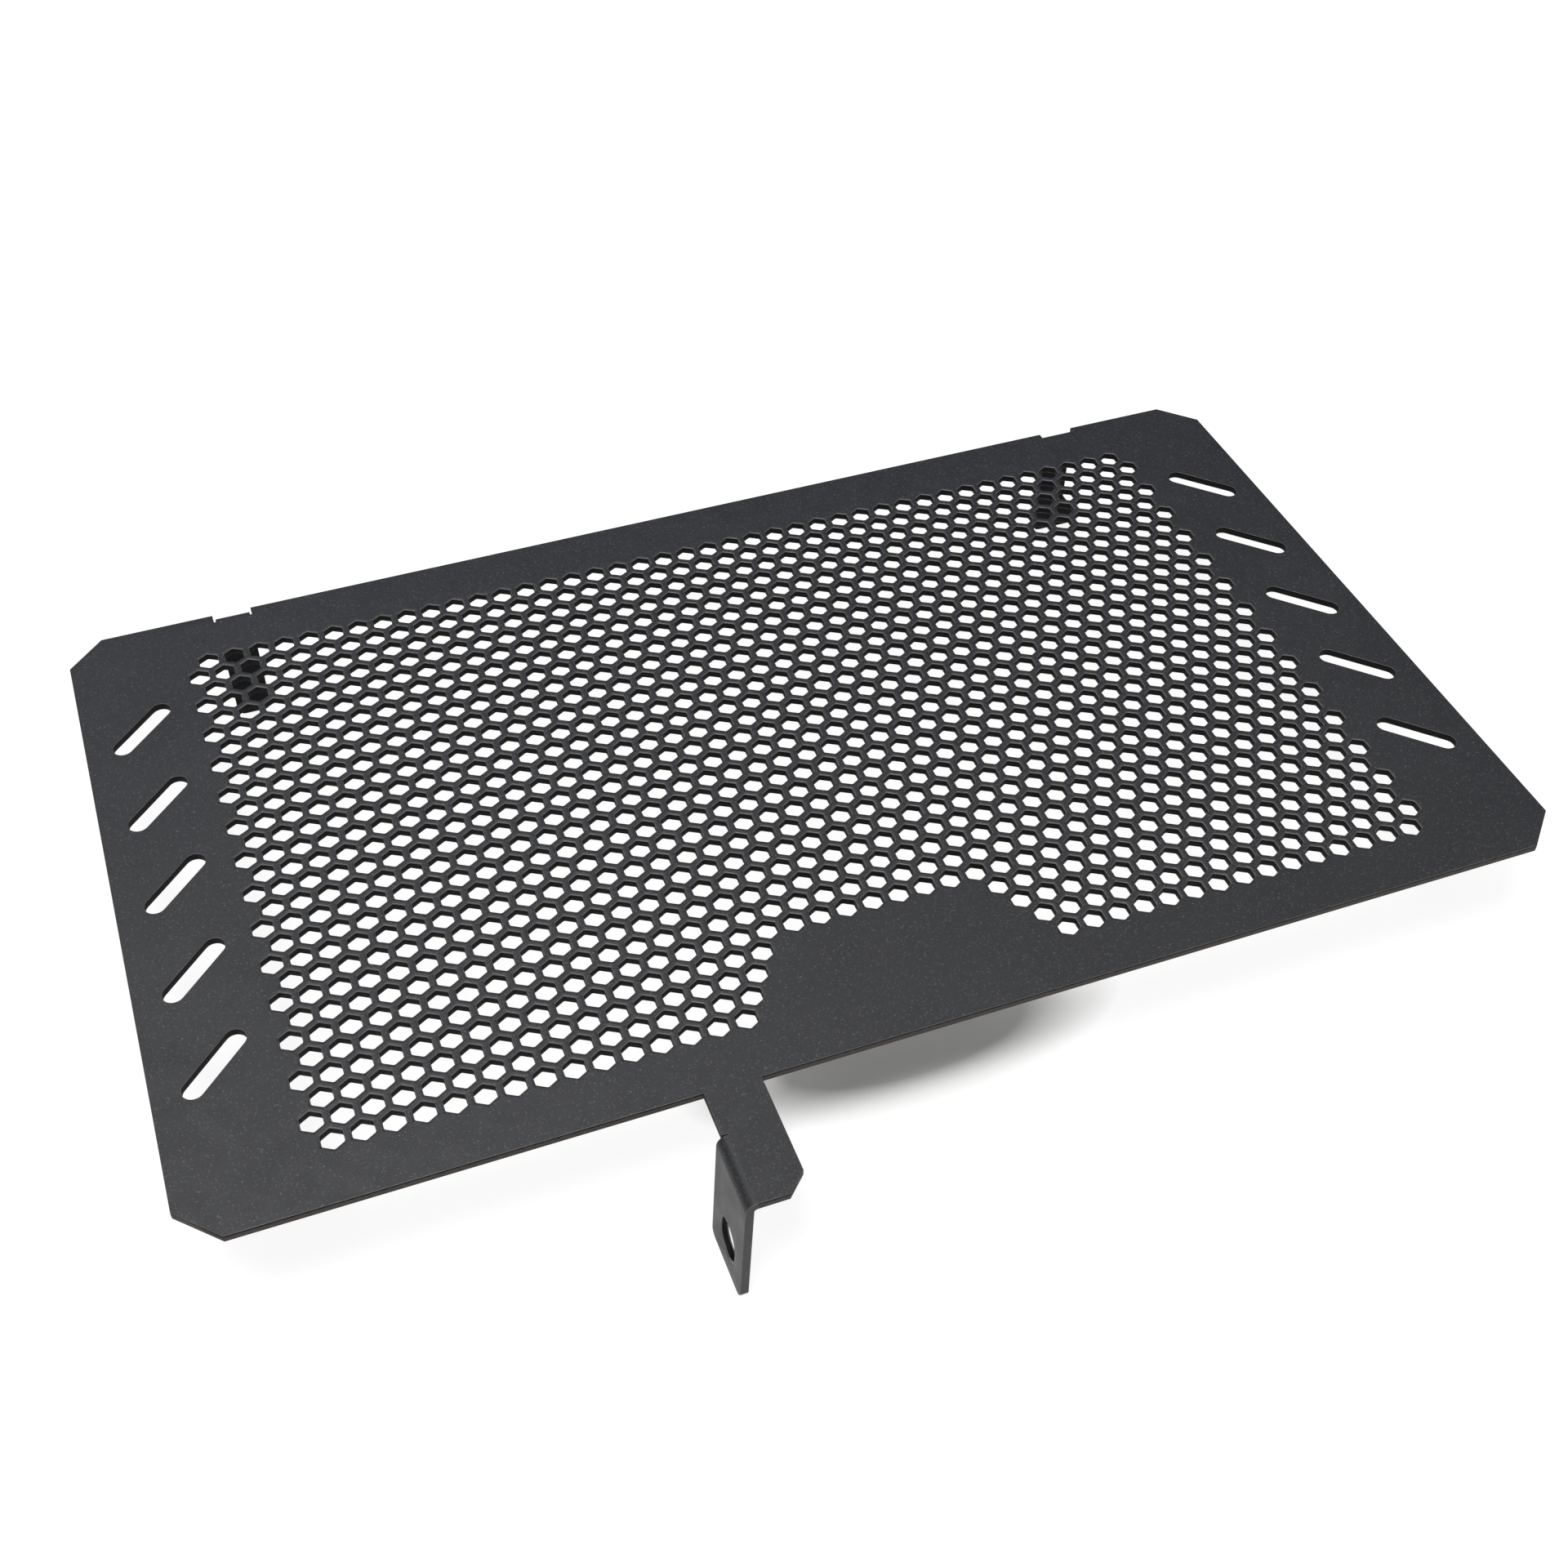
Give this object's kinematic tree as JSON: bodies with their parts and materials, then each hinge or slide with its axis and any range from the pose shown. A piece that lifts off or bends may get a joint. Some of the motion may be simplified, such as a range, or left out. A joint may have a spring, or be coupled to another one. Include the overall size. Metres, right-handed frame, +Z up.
{
  "type": "motorcycle radiator guard",
  "caption": "Flat perforated metal radiator guard with slanted side vents, chamfered corners, two folded rear legs and a slotted flange on a front tab.",
  "frame": {"origin": "middle of the footprint, on the surface that the legs stand on", "axes": "+X along the long side of the face, +Y from the front tab towards the rear legs, +Z up out of the face"},
  "size_m": [0.328, 0.2206, 0.0345],
  "materials": {
    "powder_coat": "satin black powder coat"
  },
  "bodies": {
    "root": {"radiator_guard": "powder_coat"}
  },
  "joints": []
}
